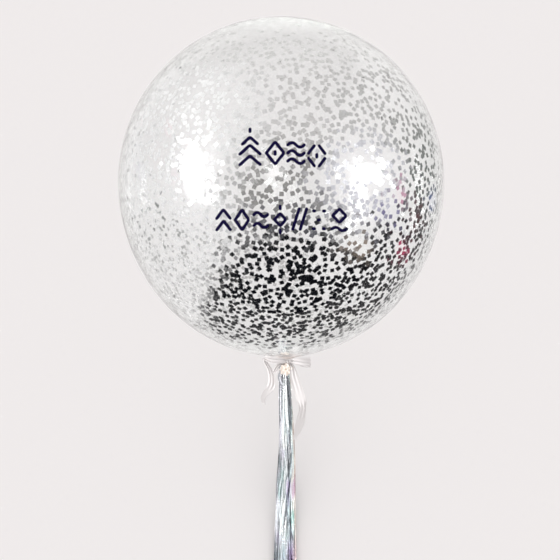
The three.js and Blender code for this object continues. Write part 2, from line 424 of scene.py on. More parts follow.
def add_flake(points, faces, spot, depth):
    """Adds one flat flake at a spot on the film."""
    middle, inward, down = film_frame(*spot, depth)
    lean = LOOSE_LEAN if chance.random() < LOOSE_SHARE else FLAT_LEAN
    tilt_a = math.radians(chance.gauss(0, lean))
    tilt_b = math.radians(chance.gauss(0, lean))
    normal = (inward + down * tilt_a + inward.cross(down) * tilt_b).normalized()
    spin = Matrix.Rotation(chance.uniform(0, math.pi / 2), 3, normal)
    side = spin @ down.cross(normal).normalized()
    ahead = side.cross(normal)
    half = FLAKE_SIDE / 2 * chance.uniform(SMALLEST_FLAKE, LARGEST_FLAKE)
    start = len(points)
    for level in (0, FLAKE_THICKNESS):
        for along, across in ((-1, -1), (1, -1), (1, 1), (-1, 1)):
            corner = middle + side * (half * along) + ahead * (half * across) + normal * level
            corner.z = max(corner.z, FLOOR_GAP + 2 * FILM_WALL + level)
            points.append(corner)
    for face in ((3, 2, 1, 0), (4, 5, 6, 7), (0, 1, 5, 4), (1, 2, 6, 5), (2, 3, 7, 6), (3, 0, 4, 7)):
        faces.append(tuple(start + i for i in face))


flake_points = []
flake_faces = []
made = 0
while made < FLAKE_COUNT:
    angle, around = flake_spot()
    clump = 1
    while clump < MOST_IN_CLUMP and chance.random() < CLUMP_SHARE:
        clump += 1
    for member in range(clump):
        away = 0.0 if member == 0 else chance.uniform(CLUMP_NEAR, CLUMP_FAR) * FLAKE_SIDE
        heading = chance.uniform(0, 2 * math.pi)
        angle += away * math.cos(heading) / BALLOON_RADIUS
        around += away * math.sin(heading) / (BALLOON_RADIUS * max(0.15, math.sin(angle)))
        if not CLEAR_CROWN < angle < CLEAR_NECK:
            continue
        depth = FILM_WALL + FLAKE_GAP + LAYER_STEP * member + chance.uniform(0, LAYER_SPREAD)
        add_flake(flake_points, flake_faces, (angle, around), depth)
        point = film_point(*film_ring(angle), around)
        taken.setdefault(cell_of(point), []).append(point)
        made += 1
confetti = piece_from("foil_confetti", flake_points, flake_faces, smooth=False)

# Where such a balloon floats, its flakes' shadows fall far off, so they are left off the floor here.
confetti.visible_shadow = False
confetti.visible_diffuse = False

# Metallised polyester foil, die-cut: bright silver, its mirror a little uneven every 2.5 mm or so,
# where the flake was rubbed against the film.
RUBBED_MM = 2.5
confetti_foil, tree, output = new_material("metallised_polyester_foil")
place = add(tree, "ShaderNodeTexCoord").outputs["Object"]
rolling = add(tree, "ShaderNodeTexNoise", {"Vector": place, "Scale": 1000 / RUBBED_MM, "Detail": 2.0})
bump = add(tree, "ShaderNodeBump", {
    "Height": rolling.outputs["Fac"],
    "Strength": 0.15,
    "Distance": 0.0005,
})
shader = add(tree, "ShaderNodeBsdfPrincipled", {
    "Base Color": linear("e9e8e8"),
    "Metallic": 1.0,
    "Roughness": 0.15,
    "Normal": bump.outputs["Normal"],
})
tree.links.new(shader.outputs["BSDF"], output.inputs["Surface"])
confetti.data.materials.append(confetti_foil)

# ---------------------------------------------------------------------------
# The inscription's place
# Two rows of marks cut from dark vinyl and stuck on the front of the film, four above and seven
# below. The marks are plain ornament and spell nothing.
# ---------------------------------------------------------------------------
STROKE_WIDTH = 0.0050
STROKE_LIFT = 0.00005
STROKE_THICKNESS = 0.0002
STROKE_STEP = 0.0016
UPPER_ROW = 0.005
LOWER_ROW = -0.099


def front_of_film(x, y):
    """The point of the film's upper side above x and y."""
    low_angle, high_angle = 0.0, math.pi
    for _ in range(40):
        angle = (low_angle + high_angle) / 2
        if film_distance(angle) * math.cos(angle) > y:
            low_angle = angle
        else:
            high_angle = angle
    radius = film_distance(angle) * math.sin(angle)
    return Vector((x, y, AXIS_HEIGHT + math.sqrt(radius * radius - x * x)))


def wave(left, right, level, height, crests):
    """Points along a level wave."""
    points = []
    for step in range(12 * crests + 1):
        share = step / (12 * crests)
        swing = math.sin(2 * math.pi * crests * share)
        points.append((left + (right - left) * share, level + height * swing))
    return points


def chevron(middle, half, foot, rise):
    """A roof of two slanted strokes."""
    return [(middle - half, foot), (middle, foot + rise), (middle + half, foot)]


def diamond(middle, level, half, rise):
    """A closed diamond round a middle."""
    return [
        (middle - half, level), (middle, level + rise), (middle + half, level),
        (middle, level - rise), (middle - half, level),
    ]


def mm(points, left, foot):
    """Points in mm from a mark's left foot, in metres on the balloon."""
    return [(left + x / 1000, foot + y / 1000) for x, y in points]


upper_marks = [
    (-0.067, [
        chevron(17, 16, 0, 14), chevron(17, 16, 17, 14), chevron(17, 12, 33, 11),
        [(17, 53), (17, 57)],
    ]),
    (-0.024, [diamond(14, 18, 14, 18), [(14, 16), (14, 20)]]),
    (0.010, [wave(0, 26, 5, 4, 1), wave(0, 26, 18, 4, 1), wave(0, 26, 31, 4, 1)]),
    (0.043, [
        [(0, 18), (9, 30)], [(17, 30), (26, 18)], [(26, 10), (17, -2)], [(9, -2), (0, 10)],
        [(13, 12), (13, 16)],
    ]),
]
lower_marks = [
    (-0.104, [chevron(11, 11, 2, 14), chevron(11, 11, 20, 14)]),
    (-0.074, [diamond(11, 17, 11, 16)]),
    (-0.044, [wave(0, 22, 8, 4, 1), wave(0, 22, 25, 4, 1)]),
    (-0.014, [diamond(12, 17, 9, 10), [(12, 34), (12, 38)], [(12, -4), (12, 0)]]),
    (0.018, [[(0, 2), (10, 34)], [(12, 2), (22, 34)]]),
    (0.049, [
        [(2, 3), (4, 3)], [(18, 3), (20, 3)], [(10, 17), (12, 17)], [(2, 31), (4, 31)],
        [(18, 31), (20, 31)],
    ]),
    (0.081, [diamond(12, 24, 11, 11), wave(0, 24, 3, 3, 1)]),
]


def add_stroke(points, faces, line):
    """Adds one stroke of even width with round ends and joins, laid on the film."""
    fine = [Vector(line[0])]
    for a, b in zip(line, line[1:]):
        steps = max(1, round((Vector(b) - Vector(a)).length / STROKE_STEP))
        fine += [Vector(a).lerp(Vector(b), (i + 1) / steps) for i in range(steps)]
    smooth = list(fine)
    for _ in range(2):
        middle = [(smooth[i - 1] + smooth[i] * 2 + smooth[i + 1]) / 4 for i in range(1, len(smooth) - 1)]
        smooth = [smooth[0]] + middle + [smooth[-1]]
    rows = []
    half = STROKE_WIDTH / 2
    ends = [(0, -math.cos(a), math.sin(a)) for a in (0.25, 0.65, 1.1)]
    ends += [(i, 0.0, 1.0) for i in range(len(smooth))]
    ends += [(len(smooth) - 1, math.cos(a), math.sin(a)) for a in (1.1, 0.65, 0.25)]
    for i, ahead, width in ends:
        heading = (smooth[min(i + 1, len(smooth) - 1)] - smooth[max(i - 1, 0)]).normalized()
        aside = Vector((-heading.y, heading.x))
        middle = smooth[i] + heading * (ahead * half)
        row = []
        for side in (-1, 0, 1):
            spot = middle + aside * (side * width * half)
            row.append(front_of_film(spot.x, spot.y))
        rows.append(row)
    start = len(points)
    for lift in (STROKE_LIFT, STROKE_LIFT + STROKE_THICKNESS):
        for row in rows:
            for point in row:
                out = Vector((point.x, point.y, point.z - AXIS_HEIGHT)).normalized()
                points.append(point + out * lift)
    layer = 3 * len(rows)
    for r in range(len(rows) - 1):
        for c in range(2):
            low = start + 3 * r + c
            faces.append((low, low + 3, low + 4, low + 1))
            faces.append((low + layer, low + layer + 1, low + layer + 4, low + layer + 3))
        left = start + 3 * r
        faces.append((left, left + layer, left + layer + 3, left + 3))
        right = left + 2
        faces.append((right, right + 3, right + layer + 3, right + layer))
    for first, flip in ((start, False), (start + 3 * (len(rows) - 1), True)):
        for c in range(2):
            face = (first + c, first + c + 1, first + c + 1 + layer, first + c + layer)
            faces.append(tuple(reversed(face)) if flip else face)


stroke_points = []
stroke_faces = []
for marks, foot in ((upper_marks, UPPER_ROW), (lower_marks, LOWER_ROW)):
    for left, strokes in marks:
        for stroke in strokes:
            add_stroke(stroke_points, stroke_faces, mm(stroke, left, foot))
vinyl_marks = piece_from("vinyl_marks", stroke_points, stroke_faces, smooth=False)

# Calendered vinyl, cut by a plotter: almost black violet blue, satin to matt, with an even grain.
# The real grain is about 0.05 mm and would not show, so it is drawn 0.7 mm wide.
VINYL_GRAIN_MM = 0.7
vinyl, tree, output = new_material("calendered_violet_vinyl")
place = add(tree, "ShaderNodeTexCoord").outputs["Object"]
grain = add(tree, "ShaderNodeTexNoise", {
    "Vector": place,
    "Scale": 1000 / VINYL_GRAIN_MM,
    "Detail": 2.0,
})
tones = add(tree, "ShaderNodeValToRGB", {"Fac": grain.outputs["Fac"]})
tones.color_ramp.elements[0].color = linear("08032a")
tones.color_ramp.elements[1].color = linear("100840")
bump = add(tree, "ShaderNodeBump", {
    "Height": grain.outputs["Fac"],
    "Strength": 0.3,
    "Distance": 0.0001,
})
shader = add(tree, "ShaderNodeBsdfPrincipled", {
    "Base Color": tones.outputs["Color"],
    "Roughness": 0.6,
    "Specular IOR Level": 0.1,
    "Normal": bump.outputs["Normal"],
})
tree.links.new(shader.outputs["BSDF"], output.inputs["Surface"])
vinyl_marks.data.materials.append(vinyl)

# ---------------------------------------------------------------------------
# The ribbon
# One satin ribbon, 20 mm wide, tied round the neck in a small bow. Where it is pinched at the knot it
# folds into pleats, and it opens out along its loops and its two slanted tails.
# ---------------------------------------------------------------------------
RIBBON_WIDTH = 0.020
RIBBON_THICKNESS = 0.00035
RIBBON_ACROSS = 24
RIBBON_STEPS = 12
RIBBON_PLEATS = 2.5
WRAP_GAP = 0.0003
WRAP_THICKNESS = 0.0018
TIE = NECK_TOP - 0.004
FRONT = AXIS_HEIGHT + WAIST_RADIUS + WRAP_GAP + WRAP_THICKNESS


def spline(values, t):
    """A smooth curve through vectors, at t from 0 to 1."""
    place = min(max(t, 0.0), 1.0) * (len(values) - 1)
    i = min(int(place), len(values) - 2)
    u = place - i
    b, c = values[i], values[i + 1]
    a = values[i - 1] if i > 0 else b * 2 - c
    d = values[i + 2] if i + 2 < len(values) else c * 2 - b
    return (b * 2 + (c - a) * u + (a * 2 - b * 5 + c * 4 - d) * u * u
            + (b * 3 - a - c * 3 + d) * u * u * u) / 2


def station(x, y, z, across, width):
    """A place of the ribbon in mm from the tie and the front, its sideways direction and width."""
    at = Vector((x / 1000, TIE + y / 1000, FRONT + z / 1000))
    return at, Vector(across).normalized(), width / 1000


def add_band(points, faces, uvs, stations, cut=0.0, phase=0.0):
    """Adds one stretch of ribbon, pleated where it is narrower than it was woven."""
    spots = [s[0] for s in stations]
    sides = [s[1] * s[2] for s in stations]
    steps = RIBBON_STEPS * (len(stations) - 1)
    start = len(points)
    length = 0.0
    before = spots[0]
    ring = 2 * (RIBBON_ACROSS + 1)
    for step in range(steps + 1):
        t = step / steps
        here = spline(spots, t)
        length += (here - before).length
        before = here
        along = (spline(spots, t + 0.004) - spline(spots, t - 0.004)).normalized()
        side = spline(sides, t)
        width = side.length
        side = (side - along * side.dot(along)).normalized()
        out = side.cross(along)
        woven = RIBBON_WIDTH
        if cut and t > 1 - cut:
            woven = max(width, RIBBON_WIDTH * (1 - (t - 1 + cut) / cut))
        depth = math.sqrt(max(0.0, woven ** 2 - width ** 2)) / (4 * RIBBON_PLEATS)
        front_row, back_row = [], []
        for c in range(RIBBON_ACROSS + 1):
            u = c / RIBBON_ACROSS - 0.5
            swing = 0.75 * math.sin(2 * math.pi * RIBBON_PLEATS * u + phase + 2.5 * t)
            swing += 0.4 * math.sin(1.2 * math.pi * RIBBON_PLEATS * u + 2 * phase - 5 * t)
            hump = 0.0006 * math.sin(3.1 * u + 9 * t + phase)
            middle = here + side * (u * width) + out * (depth * swing + hump)
            front_row.append(middle + out * (RIBBON_THICKNESS / 2))
            back_row.append(middle - out * (RIBBON_THICKNESS / 2))
        points += front_row + back_row[::-1]
        for c in range(ring):
            share = c if c <= RIBBON_ACROSS else ring - 1 - c
            uvs.append((share / RIBBON_ACROSS * RIBBON_WIDTH, length))
    for step in range(steps):
        for c in range(ring):
            row = start + step * ring
            turn = (c + 1) % ring
            faces.append((row + c, row + turn, row + ring + turn, row + ring + c))
    faces.append(tuple(reversed(range(start, start + ring))))
    faces.append(tuple(range(start + steps * ring, start + (steps + 1) * ring)))
    return length


right_loop = [
    station(14, 1, 1, (0, 1, -0.1), 6), station(30, 2, 9, (0, 1, -0.45), 14),
    station(46, 0, 10, (0, 1, -0.7), 18.6), station(54, -1, 2, (0, 1, -0.25), 18.4),
    station(44, -2, -6, (0, 1, 0), 17), station(30, 0, -6, (0, 1, 0), 12),
    station(14, 0.5, 0, (0, 1, 0), 5),
]
left_fold = [
    station(14, 1, 1, (0, 1, 0), 6), station(0, 3, 7, (0, 1, -0.1), 10),
    station(-14, 4, 8, (0, 1, -0.2), 13.5), station(-27, 7, 5, (0.2, 1, 0), 10),
    station(-31.5, 7, 0, (0.6, 0.8, 0), 7), station(-29, -1, -2, (0.9, 0.4, 0.1), 8),
    station(-22, -14, -4, (1, 0.2, 0.1), 10), station(-18, -32, -10, (1, 0, 0.1), 13),
    station(-20, -48, -18, (0.9, -0.4, -0.3), 16), station(-30, -62, -27, (0.8, -0.4, -0.6), 14),
    station(-34, -73, -34, (0.8, -0.2, -0.6), 9), station(-31, -84, -42, (1, 0.2, -0.4), 2),
]
low_loop = [
    station(4, -1, 0, (0.2, 1, 0), 4), station(-5, -6, 4, (0.7, -0.6, 0), 7),
    station(-11, -15, 4, (0.8, -0.6, 0.1), 8), station(-13, -20, -1, (0.8, -0.6, 0), 8),
    station(-10, -14, -5, (0.8, -0.6, 0), 7), station(-3, -1, -4, (0.6, 0.8, 0), 3),
]
right_tail = [
    station(14, 0, 1, (0.6, 0.8, 0), 4), station(20, -9, 4, (0.9, 0.4, 0), 9),
    station(24, -26, 2, (1, 0.2, 0.1), 16), station(31, -48, -8, (1, 0.15, 0.2), 18.5),
    station(38, -73, -22, (1, 0.1, 0.3), 19.5), station(40, -88, -31, (1, 0, -0.5), 15),
    station(38, -104, -42, (1, 0, -0.5), 18), station(35, -122, -55, (1, 0.1, -0.4), 20),
    station(31, -140, -69, (1, 0.3, -0.4), 15), station(25, -156, -82, (1, 0.5, -0.3), 3),
]
wrap_turn = []
for step in range(9):
    turn = 2 * math.pi * step / 8 + 0.6
    reach = 1000 * (WAIST_RADIUS + WRAP_GAP) + 1.2
    wrap_turn.append(station(
        1000 * NECK_LEAN + reach * math.cos(turn),
        0,
        1000 * (AXIS_HEIGHT - FRONT) + reach * math.sin(turn),
        (0, 1, 0),
        5.5,
    ))
knot_turn = [
    station(10, 2, -2, (1, 0, 0), 6), station(12, 4.2, 1, (1, 0, 0), 8),
    station(14, 1.5, 4.2, (1, 0.1, 0), 9), station(14.5, -2, 3.8, (1, 0.1, 0), 8.5),
    station(13, -4.2, 0.5, (1, 0, 0), 7), station(11, -2.5, -2, (1, 0, 0), 6),
]
ribbon_points = []
ribbon_faces = []
ribbon_uvs = []
ribbon_length = 0.0
for stations, cut, phase in (
    (right_loop, 0.0, 0.4),
    (left_fold, 0.3, 1.1),
    (low_loop, 0.0, 2.0),
    (right_tail, 0.3, 0.0),
    (wrap_turn, 0.0, 0.7),
    (knot_turn, 0.0, 1.6),
):
    ribbon_length += add_band(ribbon_points, ribbon_faces, ribbon_uvs, stations, cut, phase)
ribbon = piece_from("satin_ribbon", ribbon_points, ribbon_faces)
layer = ribbon.data.uv_layers.new(name="weave")
for loop in ribbon.data.loops:
    layer.data[loop.index].uv = ribbon_uvs[loop.vertex_index]
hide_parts("ribbon_bow")

# Polyester satin: long shining threads across a fine warp, pale, with a soft sheen at the edges. The
# real threads are about 0.3 mm apart and would not show, so they are drawn 1.9 mm apart. A wave
# texture repeats every 2 pi / 20 of its unit.
THREAD_MM = 1.9
satin, tree, output = new_material("woven_white_satin")
weave_place = add(tree, "ShaderNodeUVMap", uv_map="weave").outputs["UV"]
threads = add(tree, "ShaderNodeTexWave", {
    "Vector": weave_place,
    "Scale": 2 * math.pi / 20 * 1000 / THREAD_MM,
    "Distortion": 0.6,
    "Detail": 1.0,
}, bands_direction="Y")
bump = add(tree, "ShaderNodeBump", {
    "Height": threads.outputs["Fac"],
    "Strength": 0.25,
    "Distance": 0.0001,
})
tones = add(tree, "ShaderNodeValToRGB", {"Fac": threads.outputs["Fac"]})
tones.color_ramp.elements[0].color = linear("d6d2d1")
tones.color_ramp.elements[1].color = linear("e4e1e0")
shader = add(tree, "ShaderNodeBsdfPrincipled", {
    "Base Color": tones.outputs["Color"],
    "Roughness": 0.42,
    "Sheen Weight": 0.25,
    "Sheen Roughness": 0.4,
    "Normal": bump.outputs["Normal"],
})
tree.links.new(shader.outputs["BSDF"], output.inputs["Surface"])
ribbon.data.materials.append(satin)

# ---------------------------------------------------------------------------
# The tinsel tail
# A bunch of long narrow strips of iridescent silver foil, tied on under the rosette. It droops to
# the floor and lies along it, spreading towards its ragged end.
# ---------------------------------------------------------------------------
STRIP_COUNT = 92
STRIP_WIDTH = 0.003
STRIP_THICKNESS = 0.00012
STRIP_CREASE = 0.0005
STRIP_STEPS = 96
TAIL_TOP_WIDTH = 0.021
TAIL_END_WIDTH = 0.064
TAIL_TOP_HEIGHT = 0.012
TAIL_SWELL = 0.012
TAIL_FINE = 600
TAIL_STATIONS = 200
LOOSE_STEPS = 32
tail_spots = [
    Vector((x / 1000, TIE + y / 1000, z)) for x, y, z in (
        (8, 2, AXIS_HEIGHT - 0.021), (7.5, -22, AXIS_HEIGHT - 0.022),
        (8, -70, AXIS_HEIGHT - 0.029), (10, -120, AXIS_HEIGHT - 0.056),
        (11, -170, AXIS_HEIGHT - 0.103), (11, -220, AXIS_HEIGHT - 0.165),
        (10, -272, AXIS_HEIGHT - 0.227), (10, -325, AXIS_HEIGHT - 0.267),
        (10, -385, 0.013), (9, -470, 0.010), (10, -580, 0.008), (11, -690, 0.006),
    )
]
tail_fine = [spline(tail_spots, i / TAIL_FINE) for i in range(TAIL_FINE + 1)]
tail_reach = [0.0]
for a, b in zip(tail_fine, tail_fine[1:]):
    tail_reach.append(tail_reach[-1] + (b - a).length)


def tail_at(share):
    """The tail's middle line at a share of its length, with its direction."""
    want = min(max(share, 0.0), 1.0) * tail_reach[-1]
    i = next((k for k in range(1, len(tail_reach)) if tail_reach[k] >= want), len(tail_reach) - 1)
    part = (want - tail_reach[i - 1]) / (tail_reach[i] - tail_reach[i - 1])
    return tail_fine[i - 1].lerp(tail_fine[i], part), (tail_fine[i] - tail_fine[i - 1]).normalized()


tail_line = [tail_at(i / TAIL_STATIONS) for i in range(TAIL_STATIONS + 1)]


def add_strip(points, faces, tone_and_reflections, rows, tone_and_reflection):
    """Adds one creased strip of foil through rows of a middle, a sideways and a facing direction."""
    start = len(points)
    for here, side, face in rows:
        for edge, rise in ((-0.5, 0.0), (0.0, STRIP_CREASE), (0.5, 0.0)):
            points.append(here + side * (edge * STRIP_WIDTH) + face * rise)
        for edge, rise in ((0.5, 0.0), (0.0, STRIP_CREASE), (-0.5, 0.0)):
            points.append(here + side * (edge * STRIP_WIDTH) + face * (rise - STRIP_THICKNESS))
        for i in range(6):
            points[-1 - i].z = max(points[-1 - i].z, 0.0003)
            tone_and_reflections.append(tone_and_reflection)
    last = start + 6 * (len(rows) - 1)
    for row in range(start, last, 6):
        for c in range(6):
            turn = (c + 1) % 6
            faces.append((row + c, row + turn, row + 6 + turn, row + 6 + c))
    faces.append(tuple(reversed(range(start, start + 6))))
    faces.append(tuple(range(last, last + 6)))


def bundled(home, reach, end, roll, turns, sway):
    """The rows of a strip that lies in the bunch, wanders a little and turns over now and then."""
    rows = []
    for step in range(STRIP_STEPS + 1):
        share = end * step / STRIP_STEPS
        exact = share * TAIL_STATIONS
        i = min(TAIL_STATIONS - 1, int(exact))
        along = tail_line[i][1]
        middle = tail_line[i][0].lerp(tail_line[i + 1][0], exact - i)
        across = (Vector((1, 0, 0)) - along * along.x).normalized()
        out = across.cross(along)
        width = (TAIL_TOP_WIDTH + (TAIL_END_WIDTH - TAIL_TOP_WIDTH) * share) / 2
        height = (TAIL_TOP_HEIGHT + TAIL_SWELL * math.sin(math.pi * share)) / 2
        loose = smoothstep(share, 0.02, 0.3)
        around = home + sway[0] * loose * math.sin(sway[1] * share + sway[2])
        here = middle + across * (width * reach * math.cos(around))
        here += out * (height * reach * math.sin(around))
        lean = roll + turns * share + 0.5 * math.sin(17 * share + sway[2])
        side = across * math.cos(lean) + out * math.sin(lean)
        face = out * math.cos(lean) - across * math.sin(lean)
        rows.append((here, side, face))
    return rows


def loose_rows(spots, lean):
    """The rows of a strip that hangs apart from the bunch, in mm from the tie and the front."""
    line = [Vector((x / 1000, TIE + y / 1000, FRONT + z / 1000)) for x, y, z in spots]
    rows = []
    for step in range(LOOSE_STEPS + 1):
        share = step / LOOSE_STEPS
        here = spline(line, share)
        along = (spline(line, share + 0.01) - spline(line, share - 0.01)).normalized()
        across = (Vector((1, 0, 0)) - along * along.x).normalized()
        out = across.cross(along)
        side = across * math.cos(lean) + out * math.sin(lean)
        rows.append((here, side, out * math.cos(lean) - across * math.sin(lean)))
    return rows


strip_points = []
strip_faces = []
strip_tone_and_reflections = []
for strip in range(STRIP_COUNT):
    home = 2 * math.pi * (strip + chance.uniform(-0.4, 0.4)) / STRIP_COUNT * 7
    reach = math.sqrt(chance.uniform(0.12, 0.92))
    end = 1 - 0.07 * chance.random() ** 2
    roll = chance.gauss(0, 1.0)
    turns = chance.gauss(0, 4.0)
    sway = (chance.uniform(0.1, 0.5), chance.uniform(4, 13), chance.uniform(0, 6.3))
    rows = bundled(home, reach, end, roll, turns, sway)
    place_across = 0.5 + 0.48 * reach * math.cos(home)
    add_strip(strip_points, strip_faces, strip_tone_and_reflections, rows, place_across)
# Loose strips with values near 0 or below take the ramp's darkest grey, a painted reflection of a dark
# room.
for spots, lean, tone_and_reflection in (
    ([(3, -17, -15), (-3, -22, -15), (-5, -29, -16), (-3, -38, -18), (2, -47, -20)], 0.1, 0.02),
    ([(4, -17, -15), (0, -23, -15), (-2, -31, -16), (0, -39, -18), (4, -49, -21)], -0.2, 0.08),
    ([(9, -17, -14), (12, -34, -14), (15, -54, -17), (17, -80, -24), (19, -112, -37)], 0.3, -0.5),
    ([(10, -17, -15), (13, -35, -15), (16, -52, -18), (17.5, -66, -21), (18, -84, -25)], 0.5, -0.5),
    ([(7, -17, -13), (8, -36, -13), (9, -56, -16), (10, -80, -23), (10, -110, -35)], 0.0, 0.44),
):
    add_strip(strip_points, strip_faces, strip_tone_and_reflections, loose_rows(spots, lean), tone_and_reflection)
tinsel = piece_from("tinsel_strips", strip_points, strip_faces, smooth=False)
tone_and_reflection_layer = tinsel.data.attributes.new("strip_tone_and_reflection", "FLOAT", "POINT")
tone_and_reflection_layer.data.foreach_set("value", strip_tone_and_reflections)
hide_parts("tinsel_tail")

# Iridescent metallised foil, slit into strips: silver, with a tone for each strip read from its place
# across the tail. Its darker greys, at the left edge, in a band right of the middle and on the loose
# strips there, are painted reflection of a dark room. The interference coating tints it aqua and lilac
# towards the end, and handling left creases about 4 mm apart. One stretch near the end is coloured in
# bands across the tail: grey, pale, violet and pink.
BAND_ACROSS_MM = 62.5
BAND_ALONG_MM = 100
BAND_STRENGTH = 0.4
TINT_ACROSS_MM = 17
TINT_ALONG_MM = 110
CREASE_MM = 4.4
VIOLET_PLACE = 0.785
VIOLET_REACH = 0.075
tinsel_foil, tree, output = new_material("slit_iridescent_foil")
place = add(tree, "ShaderNodeTexCoord").outputs["Object"]
drift = add(tree, "ShaderNodeMapping", {
    "Vector": place,
    "Scale": (1000 / BAND_ACROSS_MM, 1000 / BAND_ALONG_MM, 1000 / BAND_ALONG_MM),
})
bands = add(tree, "ShaderNodeTexNoise", {"Vector": drift.outputs["Vector"], "Scale": 1.0, "Detail": 1.0})
tone_and_reflection_place = add(tree, "ShaderNodeAttribute", attribute_name="strip_tone_and_reflection").outputs["Fac"]
drifted = add(tree, "ShaderNodeMath", {
    0: bands.outputs["Fac"],
    1: BAND_STRENGTH,
    2: -BAND_STRENGTH / 2,
}, operation="MULTIPLY_ADD")
mixed = add(tree, "ShaderNodeMath", {0: tone_and_reflection_place, 1: drifted.outputs[0]}, operation="ADD")
# The darker greys of this ramp, at its start and in the band at 0.64 to 0.67, are painted reflection of
# a dark room. The rest is the foil's own silver.
tones = add(tree, "ShaderNodeValToRGB", {"Fac": mixed.outputs[0]})
ramp = tones.color_ramp
ramp.elements[0].color = linear("7e8185")
ramp.elements[1].position = 1.0
ramp.elements[1].color = linear("d8c8ca")
for position, code in (
    (0.06, "c6c7cc"), (0.18, "f0f1f5"), (0.34, "eef5f7"), (0.44, "f8faf8"), (0.50, "c8cdd2"),
    (0.59, "f4f6f8"), (0.64, "787d86"), (0.67, "5e636a"), (0.71, "c8d6da"), (0.78, "e6f4f4"),
    (0.88, "faf4ee"), (0.95, "f6e6de"),
):
    ramp.elements.new(position).color = linear(code)
film_drift = add(tree, "ShaderNodeMapping", {
    "Vector": place,
    "Scale": (1000 / TINT_ACROSS_MM, 1000 / TINT_ALONG_MM, 1000 / TINT_ALONG_MM),
})
interference = add(tree, "ShaderNodeTexNoise", {
    "Vector": film_drift.outputs["Vector"],
    "Scale": 1.0,
    "Detail": 1.0,
})
hues = add(tree, "ShaderNodeValToRGB", {"Fac": interference.outputs["Fac"]})
hues.color_ramp.elements[0].position = 0.30
hues.color_ramp.elements[0].color = linear("d8f0ec")
hues.color_ramp.elements[1].position = 0.70
hues.color_ramp.elements[1].color = linear("e2d2e9")
for position in (0.42, 0.58):
    hues.color_ramp.elements.new(position).color = linear("ffffff")
tail_place = add(tree, "ShaderNodeSeparateXYZ", {"Vector": place})
colourful = add(tree, "ShaderNodeMapRange", {
    "Value": tail_place.outputs["Y"],
    "From Min": -0.40,
    "From Max": -0.60,
    "To Min": 0.1,
    "To Max": 0.9,
})
tinted = add(tree, "ShaderNodeMixRGB", {
    "Fac": colourful.outputs["Result"],
    "Color1": tones.outputs["Color"],
    "Color2": hues.outputs["Color"],
}, blend_type="MULTIPLY")
# One stretch near the end takes bands of grey, pale, violet and pink across the tail, set by place
# alone.
across_tail = add(tree, "ShaderNodeMapRange", {
    "Value": tail_place.outputs["X"],
    "From Min": -0.014,
    "From Max": 0.036,
})
violet_tones = add(tree, "ShaderNodeValToRGB", {"Fac": across_tail.outputs["Result"]})
violet_tones.color_ramp.elements[0].color = linear("8e949a")
violet_tones.color_ramp.elements[1].position = 1.0
violet_tones.color_ramp.elements[1].color = linear("e2b8c2")
for position, code in (
    (0.15, "aeb4b8"), (0.27, "eef4f6"), (0.38, "b8c6ce"), (0.50, "e4ecf0"), (0.60, "a89cb8"),
    (0.72, "86769a"), (0.82, "e0d2dc"), (0.90, "f6e2e0"),
):
    violet_tones.color_ramp.elements.new(position).color = linear(code)
from_violet = add(tree, "ShaderNodeMath", {0: tail_place.outputs["Y"], 1: VIOLET_PLACE}, operation="ADD")
violet_away = add(tree, "ShaderNodeMath", {0: from_violet.outputs[0]}, operation="ABSOLUTE")
near_violet = add(tree, "ShaderNodeMapRange", {
    "Value": violet_away.outputs[0],
    "From Min": VIOLET_REACH,
    "From Max": VIOLET_REACH / 3,
}, interpolation_type="SMOOTHSTEP")
shot = add(tree, "ShaderNodeMixRGB", {
    "Fac": near_violet.outputs["Result"],
    "Color1": tinted.outputs["Color"],
    "Color2": violet_tones.outputs["Color"],
})
creases = add(tree, "ShaderNodeTexNoise", {"Vector": place, "Scale": 1000 / CREASE_MM, "Detail": 3.0})
bump = add(tree, "ShaderNodeBump", {
    "Height": creases.outputs["Fac"],
    "Strength": 1.0,
    "Distance": 0.0022,
})
shader = add(tree, "ShaderNodeBsdfPrincipled", {
    "Base Color": shot.outputs["Color"],
    "Metallic": 0.8,
    "Roughness": 0.2,
    "Normal": bump.outputs["Normal"],
})
tree.links.new(shader.outputs["BSDF"], output.inputs["Surface"])
tinsel.data.materials.append(tinsel_foil)

# ---------------------------------------------------------------------------
# The floor, the light and the camera
# A plain pale floor under even soft light. What the foil and the film mirror is mostly a room round
# it: a bright side on the left, a window on each side, and a dark end beyond the neck.
# The camera looks straight down, with the crown at the top.
# ---------------------------------------------------------------------------
FLOOR_HALF = 12.0
floor_mesh = bpy.data.meshes.new("floor")
floor_mesh.from_pydata(
    [(x * FLOOR_HALF, y * FLOOR_HALF, 0) for x, y in ((-1, -1), (1, -1), (1, 1), (-1, 1))],
    [],
    [(0, 1, 2, 3)],
)
floor = bpy.data.objects.new("floor", floor_mesh)
bpy.context.scene.collection.objects.link(floor)


def mirrored(tree):
    """1 for light that a mirroring surface shows, and 0 for all other light."""
    path = add(tree, "ShaderNodeLightPath").outputs
    seen = add(tree, "ShaderNodeMath", {0: path["Glossy Depth"]}, operation="GREATER_THAN")
    spread = add(tree, "ShaderNodeMath", {0: path["Diffuse Depth"]}, operation="LESS_THAN")
    both = add(tree, "ShaderNodeMath", {0: seen.outputs[0], 1: spread.outputs[0]}, operation="MULTIPLY")
    return both.outputs[0]


